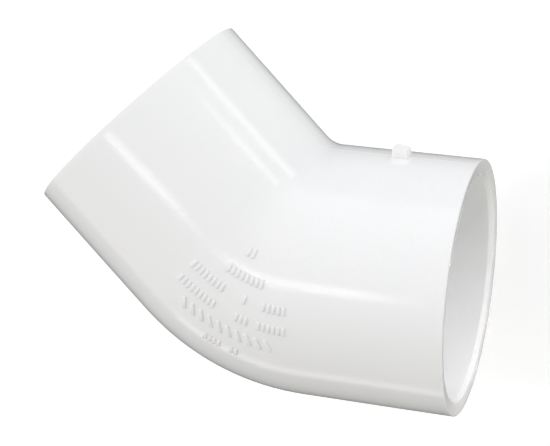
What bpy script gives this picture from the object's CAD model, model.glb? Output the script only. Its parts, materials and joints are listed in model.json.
import json
import math

import bmesh
import bpy
from mathutils import Matrix, Vector, noise


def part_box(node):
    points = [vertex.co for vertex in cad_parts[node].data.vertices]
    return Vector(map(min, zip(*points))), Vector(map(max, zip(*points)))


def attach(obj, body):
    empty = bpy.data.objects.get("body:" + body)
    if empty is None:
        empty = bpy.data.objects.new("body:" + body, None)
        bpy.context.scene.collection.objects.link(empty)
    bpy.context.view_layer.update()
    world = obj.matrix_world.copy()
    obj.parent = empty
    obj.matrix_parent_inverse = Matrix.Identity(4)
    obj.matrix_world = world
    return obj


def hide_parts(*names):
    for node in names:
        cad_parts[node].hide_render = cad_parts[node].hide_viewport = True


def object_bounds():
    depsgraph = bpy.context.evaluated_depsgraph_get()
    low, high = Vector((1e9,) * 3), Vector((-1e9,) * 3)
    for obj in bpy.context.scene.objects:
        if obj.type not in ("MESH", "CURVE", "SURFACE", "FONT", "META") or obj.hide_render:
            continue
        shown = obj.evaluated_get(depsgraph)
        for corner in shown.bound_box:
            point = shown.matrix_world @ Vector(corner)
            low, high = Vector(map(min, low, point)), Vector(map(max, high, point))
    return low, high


# White PVC pipe elbow, 45 degrees. Metres, in the frame of the CAD part: the origin is on socket B's axis at
# its pipe stop, +X out of socket B, the bend turns towards +Y, and the fitting lies on its side with +Z up.

MM = 0.001
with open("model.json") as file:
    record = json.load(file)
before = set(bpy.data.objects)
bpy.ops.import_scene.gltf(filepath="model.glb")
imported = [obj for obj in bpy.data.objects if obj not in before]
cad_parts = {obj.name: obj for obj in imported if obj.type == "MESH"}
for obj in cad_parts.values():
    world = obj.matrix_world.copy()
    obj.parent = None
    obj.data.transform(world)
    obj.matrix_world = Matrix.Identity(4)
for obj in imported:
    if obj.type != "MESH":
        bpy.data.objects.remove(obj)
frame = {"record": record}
cad_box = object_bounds()

# ---------------------------------------------------------------- sizes, from the frame
mouth_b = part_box("socket_b")[1].x                      # socket depth, as the pipe stop is at x = 0
outer_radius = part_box("socket_b")[1].z
mounts = {mount["name"]: mount for mount in frame["record"]["mounts"]}
stop_a = Vector(mounts["socket_a"]["pos_m"])
out_of_a = Vector(mounts["socket_a"]["axis"]).normalized()
turn = math.pi - math.atan2(out_of_a.y, out_of_a.x)    # change of direction of the pipe line
bend_radius = stop_a.length / (2 * math.sin(turn / 2))
bend_length = bend_radius * turn
up = Vector((0, 0, 1))
bend_centre = Vector((0, bend_radius, 0))

# The same values as the CAD model's
waterway_radius = 34.5 * MM
bore_radius = 36.56 * MM
lead_in_length = 2.0 * MM
lead_in_depth = 1.0 * MM
stub_length = 5.4 * MM
stub_depth = 6.0 * MM
stub_height = 3.4 * MM
stub_setback = 24.8 * MM
mark_height = 0.45 * MM
bar_length = 2.9 * MM
bar_width = 0.9 * MM
bar_pitch = 1.65 * MM
hatch_length = 4.7 * MM
hatch_width = 1.0 * MM
hatch_slant = math.radians(28)
hatch_pitch = 3.35 * MM


# ---------------------------------------------------------------- places on the elbow
def spoke(along):
    """Direction from the bend's centre to its centreline, along in radians round the bend from socket B."""
    return Vector((-math.sin(along), -math.cos(along), 0))


def centreline(s):
    """Point and heel-side direction at s metres along the centreline: 0 at pipe stop B, less in socket B."""
    if s <= 0:
        return Vector((-s, 0, 0)), spoke(0)
    if s < bend_length:
        heelward = spoke(s / bend_radius)
        return bend_centre + heelward * bend_radius, heelward
    return stop_a + out_of_a * (s - bend_length), spoke(turn)


def on_elbow(s, radius, lean):
    """Point at a distance from the centreline, lean in radians from the top towards the heel."""
    centre, heelward = centreline(s)
    return centre + (heelward * math.sin(lean) + up * math.cos(lean)) * radius


# ---------------------------------------------------------------- mesh helpers
def object_from(name, vertices, faces, smooth=True):
    """Mesh object with its faces turned outwards."""
    mesh = bpy.data.meshes.new(name)
    mesh.from_pydata([tuple(v) for v in vertices], [], faces)
    mesh.update()
    made = bmesh.new()
    made.from_mesh(mesh)
    bmesh.ops.recalc_face_normals(made, faces=made.faces)
    made.to_mesh(mesh)
    made.free()
    mesh.polygons.foreach_set("use_smooth", [smooth] * len(mesh.polygons))
    piece = bpy.data.objects.new(name, mesh)
    bpy.context.scene.collection.objects.link(piece)
    return piece


def loft(rings, first, closed_profile=False):
    """Quads between rings of equal size, numbered from vertex first."""
    size = len(rings[0])
    faces = []
    count = len(rings) if closed_profile else len(rings) - 1
    for i in range(count):
        here = first + i * size
        there = first + (i + 1) % len(rings) * size
        for j in range(size):
            k = (j + 1) % size
            faces.append((here + j, here + k, there + k, there + j))
    return faces


def corner(before, at, after, radius, steps):
    """Points of a round corner of that radius between two straight stretches of a profile."""
    before, at, after = Vector(before), Vector(at), Vector(after)
    u, v = (before - at).normalized(), (after - at).normalized()
    half = u.angle(v) / 2
    reach = radius / math.tan(half)
    middle = at + (u + v).normalized() * (radius / math.sin(half))
    start, end = at + u * reach - middle, at + v * reach - middle
    total = start.angle(end)
    return [
        middle + (start * math.sin(total * (1 - t)) + end * math.sin(total * t)) / math.sin(total)
        for t in (i / steps for i in range(steps + 1))
    ]


def rounded(profile, steps=5):
    """Closed profile of (position, radius, rounding) as points, with its corners rounded."""
    points = []
    for i, (x, y, rounding) in enumerate(profile):
        before = profile[i - 1][:2]
        after = profile[(i + 1) % len(profile)][:2]
        points += corner(before, (x, y), after, rounding, steps)
    return points


def filled(points, longest):
    """The closed profile with its long straight stretches divided evenly."""
    made = []
    for here, there in zip(points, points[1:] + points[:1]):
        parts = max(1, math.ceil((there - here).length / longest))
        made += [here.lerp(there, i / parts) for i in range(parts)]
    return made


# ---------------------------------------------------------------- the shell
parting_ridge = 0.05 * MM      # flash on the parting plane; the wall beside it lies this much lower
parting_width = 0.22 * MM
wall_swell = 0.035 * MM        # slow unevenness of a moulded wall
swell_scale = 38.0             # of its noise, to a metre
swell_shift = 0.6              # share of it by which the wall is set back, to stay under its nominal radius
heel_tightening = 4.2 * MM     # the outside curves this much tighter at the heel than the bend does
crotch_easing = 3.8 * MM       # and this much more gently in the crotch
mouth_dish = 0.5 * MM          # a mouth's face is this much deeper at its inner edge
rim_round = 0.5 * MM           # outer edge of a mouth's face
lip_round = 0.4 * MM           # its inner edge, where the bevel starts
bevel_round = 0.8 * MM         # where the bevel meets the bore
stop_foot_round = 0.3 * MM     # where the bore meets the pipe stop
stop_edge_round = 0.5 * MM     # where the pipe stop meets the waterway
wall_tolerance = 0.05 * MM     # profile points this close to the nominal radius follow the outer wall
longest_quad = 1.9 * MM
columns = 240


def leans():
    """Angles of the shell's columns, with extra ones at the parting plane."""
    fine = parting_width / outer_radius
    extra = [side * math.pi / 2 + fine * k / 2 for side in (1, -1) for k in (-2, -1, 1, 2)]
    even = [2 * math.pi * i / columns - math.pi for i in range(columns)]
    kept = [a for a in even if all(abs(a - b) > fine / 4 for b in extra)]
    return sorted(kept + extra)


def sideways(s, lean):
    """How far the outer wall stands off the plain bend, in the bend's plane and towards the heel.

    Each slice of the outside is two straight lines joined by an arc, whose radius isn't quite the bend's."""
    reach = bend_radius + outer_radius * math.sin(lean)
    heelness = (1 + math.sin(lean)) / 2
    arc = reach + crotch_easing * (1 - heelness) - heel_tightening * heelness
    half = turn / 2
    if s < 0 or s > bend_length:
        beyond = -s if s < 0 else s - bend_length
        inside = (arc - reach) * math.tan(half) - beyond
        return math.sqrt(arc ** 2 - inside ** 2) - arc if inside > 0 else 0.0
    across = abs(s / bend_radius - half)
    apart = (reach - arc) / math.cos(half)
    if across > math.atan2(arc * math.sin(half), apart + arc * math.cos(half)):
        return reach / math.cos(half - across) - reach
    return apart * math.cos(across) + math.sqrt(arc ** 2 - (apart * math.sin(across)) ** 2) - reach


def wall(s, lean):
    """Radius of the outer wall there: never over its nominal one on the straight legs."""
    place = on_elbow(s, outer_radius, lean)
    swell = wall_swell * (noise.noise(place * swell_scale) - swell_shift)
    ridge = parting_ridge * (math.exp(-(place.z / (parting_width / 2)) ** 2) - 1)
    return outer_radius + min(0.0, swell) + ridge + sideways(s, lean) * math.sin(lean)


def on_wall(s, height, lean):
    """Point at a height above the outer wall."""
    return on_elbow(s, wall(s, lean) + height, lean)


def elbow_shell():
    """The moulding: a closed profile carried round, from mouth B inside to mouth A and back outside."""
    mouth_half = [
        (-mouth_b, outer_radius, rim_round),
        (-mouth_b + mouth_dish, bore_radius + lead_in_depth, lip_round),
        (-mouth_b + lead_in_length, bore_radius, bevel_round),
        (0, bore_radius, stop_foot_round),
        (0, waterway_radius, stop_edge_round),
    ]
    far_half = [(bend_length - x, y, rounding) for x, y, rounding in reversed(mouth_half)]
    profile = filled(rounded(mouth_half + far_half), longest_quad)
    angles = leans()
    rings = []
    for point in profile:
        outer = point.y > outer_radius - wall_tolerance
        rings.append([
            on_elbow(point.x, wall(point.x, lean) - outer_radius + point.y if outer else point.y, lean)
            for lean in angles
        ])
    vertices = [v for ring in rings for v in ring]
    return object_from("elbow_shell", vertices, loft(rings, 0, closed_profile=True))


# ---------------------------------------------------------------- raised marks
bar_skirt = 0.35 * MM          # size of a bar's soft edge
bar_edge = [                   # from the foot up: share of the skirt outwards, share of the mark's height
    (0.95, -0.6),
    (0.95, -0.06),
    (0.62, 0.03),
    (0.40, 0.22),
    (0.24, 0.62),
    (0.08, 0.90),
    (-0.10, 1.0),
]
plain_bar = (bar_length, bar_width, 0.0, bar_pitch)    # length, width, slant and pitch
slanted_bar = (hatch_length, hatch_width, hatch_slant, hatch_pitch)

# Each row: its node, its degrees from the top of the bend towards the heel, its kind of bar, and its groups,
# each given as the place of its first bar, in degrees round the bend from socket B, and its number of bars
mark_rows = [
    ("size_mark", 28.5, plain_bar, [(16.5, 2), (22.0, 4)]),
    ("schedule_mark", 8.7, plain_bar, [(1.5, 6), (15.5, 3), (28.5, 9)]),
    ("material_mark", -1.0, plain_bar, [(1.5, 5), (18.3, 1), (28.5, 8)]),
    ("certification_mark", -10.5, plain_bar, [(13.0, 8)]),
    ("cavity_mark", -21.0, plain_bar, [(23.0, 2)]),
    ("maker_mark", 18.0, slanted_bar, [(7.0, 10)]),
]


def stadium(half_length, half_width, steps=7):
    """Outline of a bar with round ends, its long side along local Y."""
    straight = half_length - half_width
    outline = []
    for end in (1, -1):
        for i in range(steps + 1):
            a = math.pi * i / steps
            outline.append((end * half_width * math.cos(a), end * (straight + half_width * math.sin(a))))
    return outline


def marks(name, row_lean, bar, groups):
    """One row of soft-edged bars on the bend."""
    length, width, slant, pitch = bar
    lean = math.radians(row_lean)
    row_radius = bend_radius + outer_radius * math.sin(lean)
    turned = Matrix.Rotation(-slant, 2)
    vertices, faces = [], []
    for first, count in groups:
        for i in range(count):
            along = math.radians(first) + pitch / row_radius * i
            rings = []
            for outwards, upwards in bar_edge:
                spread = bar_skirt * outwards
                ring = []
                for p in stadium(length / 2 + spread, width / 2 + spread):
                    p = turned @ Vector(p)
                    s = (along + p.x / row_radius) * bend_radius
                    ring.append(on_wall(s, mark_height * upwards, lean - p.y / outer_radius))
                rings.append(ring)
            start = len(vertices)
            size = len(rings[0])
            vertices += [v for ring in rings for v in ring]
            faces += loft(rings, start)
            faces.append(tuple(range(start, start + size)))
            top = start + size * (len(rings) - 1)
            faces.append(tuple(range(top, top + size)))
    return object_from(name, vertices, faces)


# ---------------------------------------------------------------- gate stub
torn_line = [(0, 0.92), (0.15, 1.0), (0.4, 0.93), (1.0, 0.76)]     # share of the length, share of the height
stub_inset = 0.25 * MM         # room for the roughness, inside the CAD stub
stub_sink = 0.3 * MM           # how far its foot starts inside the wall
flare_to_bend = 0.30           # widening of its foot on each side, as a share of its length
flare_to_mouth = 0.16
flare_fade = 6                 # how fast the widening fades with height
tear_depth = 0.5 * MM          # streaks of the tear
tear_scale_along = 1400.0      # of their noise, to a metre
tear_scale_across = 350.0
tear_slice = 0.5               # where the noise is cut
grit_depth = 0.04 * MM         # fine roughness over all of it
grit_scale = 1500.0
grit_seed = 1                  # a vector noise without a seed starts from the clock, and each run differs
rough_rise = 2.5               # the roughness is full from 1 / 2.5 of the height up
cells_along, cells_across, cells_up = 20, 12, 6
noise.seed_set(grit_seed)


def torn_height(t):
    """Height of the stub's torn top, t from 0 to 1 along the socket."""
    for (a, low), (b, high) in zip(torn_line, torn_line[1:]):
        if t <= b:
            return stub_height * (low + (high - low) * (t - a) / (b - a))
    return stub_height * torn_line[-1][1]


def on_stub(t, d, h):
    """Point of the stub at shares of its length, depth and height."""
    z = (d - 0.5) * (stub_depth - 2 * stub_inset)
    foot = math.sqrt(outer_radius ** 2 - z * z) - stub_sink
    top = outer_radius + torn_height(t) - stub_inset / 2
    flare = 1 + (flare_to_mouth if t > 0.5 else flare_to_bend) * math.exp(-flare_fade * h)
    x = mouth_b - stub_setback + (t - 0.5) * (stub_length - 2 * stub_inset) * flare
    point = Vector((x, foot + (top - foot) * h, z))
    streak = noise.noise(Vector((point.x * tear_scale_along, point.z * tear_scale_across, tear_slice)))
    ridge = Vector((0, 0, streak * tear_depth * z / stub_depth))
    grit = noise.noise_vector(point * grit_scale) * grit_depth
    return point + (ridge + grit) * min(1.0, rough_rise * h)


def gate_stub():
    """Torn remains of the gate: a box of small flat faces."""
    outline = [(i / cells_along, 0.0) for i in range(cells_along)]
    outline += [(1.0, j / cells_across) for j in range(cells_across)]
    outline += [(1 - i / cells_along, 1.0) for i in range(cells_along)]
    outline += [(0.0, 1 - j / cells_across) for j in range(cells_across)]
    vertices, faces = [], []
    numbers = {}

    def number(t, d, h):
        key = (round(t, 4), round(d, 4), round(h, 4))
        if key not in numbers:
            numbers[key] = len(vertices)
            vertices.append(on_stub(t, d, h))
        return numbers[key]

    for level in range(cells_up):
        low, high = level / cells_up, (level + 1) / cells_up
        for here, there in zip(outline, outline[1:] + outline[:1]):
            faces.append((number(*here, low), number(*there, low), number(*there, high), number(*here, high)))
    for h in (0.0, 1.0):
        for i in range(cells_along):
            for j in range(cells_across):
                t0, t1 = i / cells_along, (i + 1) / cells_along
                d0, d1 = j / cells_across, (j + 1) / cells_across
                faces.append((number(t0, d0, h), number(t1, d0, h), number(t1, d1, h), number(t0, d1, h)))
    return object_from("gate_stub_torn", vertices, faces, smooth=False)


# ---------------------------------------------------------------- materials
pvc_ior = 1.53
scatter_radii = (1.0, 0.9, 0.8)    # for red, green and blue
scatter_scale = 1.5 * MM
drift_shade = 0.975            # darkest shade of the slow colour drift
drift_noise = (45.0, 2.0)      # scale and detail, as in the next two
gloss_noise = (120.0, 4.0)
peel_noise = (1100.0, 3.0)
gloss_range = (0.82, 1.18)     # shares of the roughness


def plastic(name, colour, roughness, scatter, peel):
    """Moulded PVC: a slow colour drift, uneven gloss and a fine orange peel."""
    material = bpy.data.materials.new(name)
    material.use_nodes = True
    nodes, links = material.node_tree.nodes, material.node_tree.links
    shader = nodes["Principled BSDF"]
    shader.inputs["IOR"].default_value = pvc_ior
    shader.inputs["Subsurface Weight"].default_value = scatter
    shader.inputs["Subsurface Radius"].default_value = scatter_radii
    shader.inputs["Subsurface Scale"].default_value = scatter_scale
    place = nodes.new("ShaderNodeTexCoord")

    def grain(scale, detail):
        texture = nodes.new("ShaderNodeTexNoise")
        texture.inputs["Scale"].default_value = scale
        texture.inputs["Detail"].default_value = detail
        links.new(place.outputs["Object"], texture.inputs["Vector"])
        return texture.outputs["Fac"]

    drift = nodes.new("ShaderNodeMix")
    drift.data_type = "RGBA"
    drift.inputs["A"].default_value = (*[c * drift_shade for c in colour], 1)
    drift.inputs["B"].default_value = (*colour, 1)
    links.new(grain(*drift_noise), drift.inputs["Factor"])
    links.new(drift.outputs["Result"], shader.inputs["Base Color"])

    gloss = nodes.new("ShaderNodeMapRange")
    gloss.inputs["To Min"].default_value = roughness * gloss_range[0]
    gloss.inputs["To Max"].default_value = roughness * gloss_range[1]
    links.new(grain(*gloss_noise), gloss.inputs["Value"])
    links.new(gloss.outputs["Result"], shader.inputs["Roughness"])

    relief = nodes.new("ShaderNodeBump")
    relief.inputs["Strength"].default_value = 1.0
    relief.inputs["Distance"].default_value = peel
    links.new(grain(*peel_noise), relief.inputs["Height"])
    links.new(relief.outputs["Normal"], shader.inputs["Normal"])
    return material


pvc_white = plastic("pvc_white", (0.93, 0.93, 0.925), roughness=0.12, scatter=0.1, peel=0.035 * MM)
pvc_gate = plastic("pvc_gate", (0.97, 0.965, 0.945), roughness=0.45, scatter=0.3, peel=0.05 * MM)

# ---------------------------------------------------------------- pieces
shell = elbow_shell()
shell.data.materials.append(pvc_white)
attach(shell, "root")
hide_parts("socket_b", "bend", "socket_a")

stub = gate_stub()
stub.data.materials.append(pvc_gate)
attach(stub, "root")
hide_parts("gate_stub")

for node, row_lean, bar, groups in mark_rows:
    bars = marks(f"{node}_bars", row_lean, bar, groups)
    bars.data.materials.append(pvc_white)
    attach(bars, "root")
    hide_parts(node)

# ---------------------------------------------------------------- floor
floor_half = 20.0
floor_z = cad_box[0].z
floor_grey = 0.95
floor_glow = 0.26              # lifts the floor to the photo's white
floor = object_from(
    "floor",
    [(x * floor_half, y * floor_half, floor_z) for x, y in ((-1, -1), (1, -1), (1, 1), (-1, 1))],
    [(0, 1, 2, 3)],
)
floor_white = bpy.data.materials.new("floor_white")
floor_white.use_nodes = True
floor_shader = floor_white.node_tree.nodes["Principled BSDF"]
floor_shader.inputs["Base Color"].default_value = (floor_grey, floor_grey, floor_grey, 1)
floor_shader.inputs["Roughness"].default_value = 1.0
floor_shader.inputs["Specular IOR Level"].default_value = 0.0
floor_shader.inputs["Emission Color"].default_value = (1, 1, 1, 1)
floor_shader.inputs["Emission Strength"].default_value = floor_glow
floor.data.materials.append(floor_white)
floor.visible_glossy = False           # so that the gloss at the edges shows dark, as from black cards


# ---------------------------------------------------------------- light
def studio_sky(near, far, far_side, horizon_blur=0.04):
    """Soft light from above that changes slowly from one side to the other, and dark under the horizon.

    near and far are colours times strengths."""
    world = bpy.data.worlds.new("studio")
    bpy.context.scene.world = world
    world.use_nodes = True
    nodes, links = world.node_tree.nodes, world.node_tree.links
    sky = nodes["Background"]
    heading = nodes.new("ShaderNodeTexCoord")

    def along(axis, low, high):
        turned = nodes.new("ShaderNodeVectorMath")
        turned.operation = "DOT_PRODUCT"
        turned.inputs[1].default_value = axis
        links.new(heading.outputs["Generated"], turned.inputs[0])
        ramp = nodes.new("ShaderNodeMapRange")
        ramp.interpolation_type = "SMOOTHSTEP"
        ramp.inputs["From Min"].default_value = low
        ramp.inputs["From Max"].default_value = high
        links.new(turned.outputs["Value"], ramp.inputs["Value"])
        return ramp.outputs["Result"]

    tint = nodes.new("ShaderNodeMix")
    tint.data_type = "RGBA"
    tint.inputs["A"].default_value = (*near, 1)
    tint.inputs["B"].default_value = (*far, 1)
    links.new(along(far_side, -1.0, 1.0), tint.inputs["Factor"])
    links.new(tint.outputs["Result"], sky.inputs["Color"])
    links.new(along((0, 0, 1), -horizon_blur, 0.0), sky.inputs["Strength"])


def softbox(
    name, direction, distance, size, power,
    aim=(0, 0, 0), colour=(1, 1, 1), shows_in="both", spread=180,
):
    """Area lamp that stands off its aim in that direction and faces it; spread is in degrees.

    shows_in is gloss for a highlight card, diffuse for a fill, or both."""
    data = bpy.data.lights.new(name, "AREA")
    data.shape = "RECTANGLE"
    data.size, data.size_y = size
    data.energy = power
    data.color = colour
    data.spread = math.radians(spread)
    lamp = bpy.data.objects.new(name, data)
    direction = Vector(direction).normalized()
    lamp.location = Vector(aim) + direction * distance
    lamp.rotation_mode = "QUATERNION"
    lamp.rotation_quaternion = direction.to_track_quat("Z", "Y")
    lamp.visible_camera = False
    lamp.visible_diffuse = shows_in != "gloss"
    lamp.visible_glossy = shows_in != "diffuse"
    bpy.context.scene.collection.objects.link(lamp)


studio_sky(near=(0.36, 0.35, 0.303), far=(0.985, 0.985, 1.006), far_side=(-0.6, 0.69, 0.40))

# Small lamp overhead: the highlights along the top of both legs
softbox("key", (-0.250, 0.060, 0.966), 0.376, (0.046, 0.080), 0.041, aim=(0.004, 0.009, 0.041))

# Two cards beyond the crotch: the streaks on the crotch side of leg A
softbox(
    "side_low", (0.66, 0.742, -0.10), 0.3, (0.11, 0.036), 0.031,
    aim=(-0.026, 0.062, 0.021), shows_in="gloss",
)
softbox(
    "side_high", (0.67, 0.72, 0.205), 0.7, (0.06, 0.065), 0.036,
    aim=(-0.014, 0.040, 0.027), shows_in="gloss",
)

# Fills: from above leg A, into the crotch, on mouth B's face, and a narrow one into the bore of socket B
softbox("left", (-0.75, 0.2, 0.6), 1.2, (0.4, 0.4), 1.1, shows_in="diffuse")
softbox("crotch", (0.45, 0.82, 0.35), 1.2, (0.5, 0.3), 1.15, colour=(0.78, 0.87, 1.0), shows_in="diffuse")
softbox("front", (0.93, 0.05, 0.12), 1.2, (0.5, 0.3), 1.5, shows_in="diffuse")
softbox(
    "mouth", (0.9, 0.43, 0.05), 0.5, (0.05, 0.05), 0.005,
    aim=(mouth_b, -0.010, -0.004), shows_in="diffuse", spread=10,
)

# Long low card: the sheen along the heel
softbox("heel", (-0.1, -0.99, 0.05), 1.0, (1.4, 0.16), 0.8, colour=(1.0, 0.98, 0.95), shows_in="gloss")

# ---------------------------------------------------------------- camera
camera_pitch = math.radians(18.98)
camera_yaw = math.radians(-18.42)
camera_roll = math.radians(-0.57)
camera_offset = Vector((0.75 * MM, 13.33 * MM, 532.2 * MM))    # right, up and back, as the camera sees it
world_to_camera = (
    Matrix.Rotation(camera_roll, 3, "Z")
    @ Matrix.Rotation(camera_pitch, 3, "X")
    @ Matrix.Rotation(camera_yaw, 3, "Y")
)
camera_to_world = world_to_camera.transposed()
crossing = Vector((-bend_radius * math.tan(turn / 2), 0, 0))   # where the axes of the two legs meet
camera = bpy.data.objects.new("camera", bpy.data.cameras.new("camera"))
camera.data.sensor_width = 36.0
camera.data.lens = 103.78
camera.data.clip_start = 0.02
camera.rotation_mode = "QUATERNION"
camera.rotation_quaternion = camera_to_world.to_quaternion()
camera.location = crossing + camera_to_world @ camera_offset
bpy.context.scene.collection.objects.link(camera)
bpy.context.scene.camera = camera
bpy.context.scene.view_settings.view_transform = "Standard"
